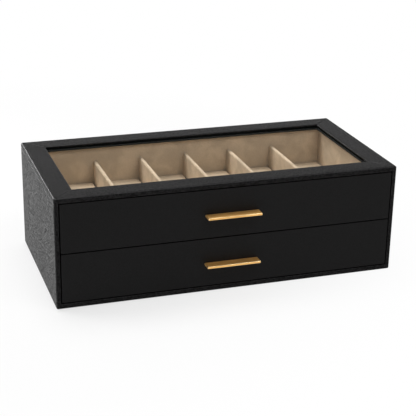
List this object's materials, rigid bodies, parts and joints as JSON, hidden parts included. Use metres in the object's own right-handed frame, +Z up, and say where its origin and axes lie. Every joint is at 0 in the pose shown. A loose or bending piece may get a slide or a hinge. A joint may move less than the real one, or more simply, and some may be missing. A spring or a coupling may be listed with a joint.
{
  "type": "sunglasses organizer",
  "caption": "Leatherette organizer case with a glazed window in its top and stacked sliding drawers, suede lined and divided into long compartments, with flat brass finger pulls.",
  "frame": {"origin": "middle of the felt underside, on the surface that the case stands on", "axes": "+X to the right seen from the front, +Y to the back, +Z up. The drawers open along -Y."},
  "size_m": [0.4, 0.212, 0.13],
  "materials": {
    "grained_leatherette": "black leatherette with a fine pebble grain, satin",
    "smooth_leatherette": "black leatherette with a very fine grain, satin to matt",
    "black_paper_wrap": "matt black paper over fibreboard",
    "taupe_suede": "short napped taupe suede, matt",
    "brushed_brass": "brass brushed along its length",
    "plated_steel": "zinc plated",
    "window_glass": "clear, polished",
    "charcoal_strip": "matt charcoal",
    "guide_strip": "matt charcoal, low friction",
    "black_felt": "pressed black felt",
    "bumper_rubber": "matt grey rubber"
  },
  "bodies": {
    "case": {"left_side_panel": "grained_leatherette", "right_side_panel": "grained_leatherette", "bottom_panel": "grained_leatherette", "back_panel": "grained_leatherette", "front_rail": "grained_leatherette", "rear_rail": "grained_leatherette", "left_rail": "grained_leatherette", "right_rail": "grained_leatherette", "window_glass": "window_glass", "front_glass_strip": "charcoal_strip", "rear_glass_strip": "charcoal_strip", "left_glass_strip": "charcoal_strip", "right_glass_strip": "charcoal_strip", "middle_shelf": "black_paper_wrap", "base_felt": "black_felt", "lower_glide_sheet": "black_felt", "upper_glide_sheet": "black_felt", "lower_left_guide": "guide_strip", "lower_right_guide": "guide_strip", "upper_left_guide": "guide_strip", "upper_right_guide": "guide_strip", "lower_bumper": "bumper_rubber", "upper_bumper": "bumper_rubber"},
    "upper_drawer": {"upper_drawer_front": "smooth_leatherette", "upper_left_wall": "black_paper_wrap", "upper_right_wall": "black_paper_wrap", "upper_back_wall": "black_paper_wrap", "upper_base_board": "black_paper_wrap", "upper_front_lining": "taupe_suede", "upper_back_lining": "taupe_suede", "upper_left_lining": "taupe_suede", "upper_right_lining": "taupe_suede", "upper_divider_1": "taupe_suede", "upper_divider_2": "taupe_suede", "upper_divider_3": "taupe_suede", "upper_divider_4": "taupe_suede", "upper_divider_5": "taupe_suede", "upper_floor_pad": "taupe_suede", "upper_pull": "brushed_brass", "upper_left_pull_screw": "plated_steel", "upper_right_pull_screw": "plated_steel"},
    "lower_drawer": {"lower_drawer_front": "smooth_leatherette", "lower_left_wall": "black_paper_wrap", "lower_right_wall": "black_paper_wrap", "lower_back_wall": "black_paper_wrap", "lower_base_board": "black_paper_wrap", "lower_front_lining": "taupe_suede", "lower_back_lining": "taupe_suede", "lower_left_lining": "taupe_suede", "lower_right_lining": "taupe_suede", "lower_divider_1": "taupe_suede", "lower_divider_2": "taupe_suede", "lower_divider_3": "taupe_suede", "lower_divider_4": "taupe_suede", "lower_divider_5": "taupe_suede", "lower_floor_pad": "taupe_suede", "lower_pull": "brushed_brass", "lower_left_pull_screw": "plated_steel", "lower_right_pull_screw": "plated_steel"}
  },
  "joints": [
    {"name": "upper_drawer_slide", "type": "slide", "parent": "case", "child": "upper_drawer", "axis": [0, -1, 0], "range_m": [0, 0.15]},
    {"name": "lower_drawer_slide", "type": "slide", "parent": "case", "child": "lower_drawer", "axis": [0, -1, 0], "range_m": [0, 0.15]}
  ]
}
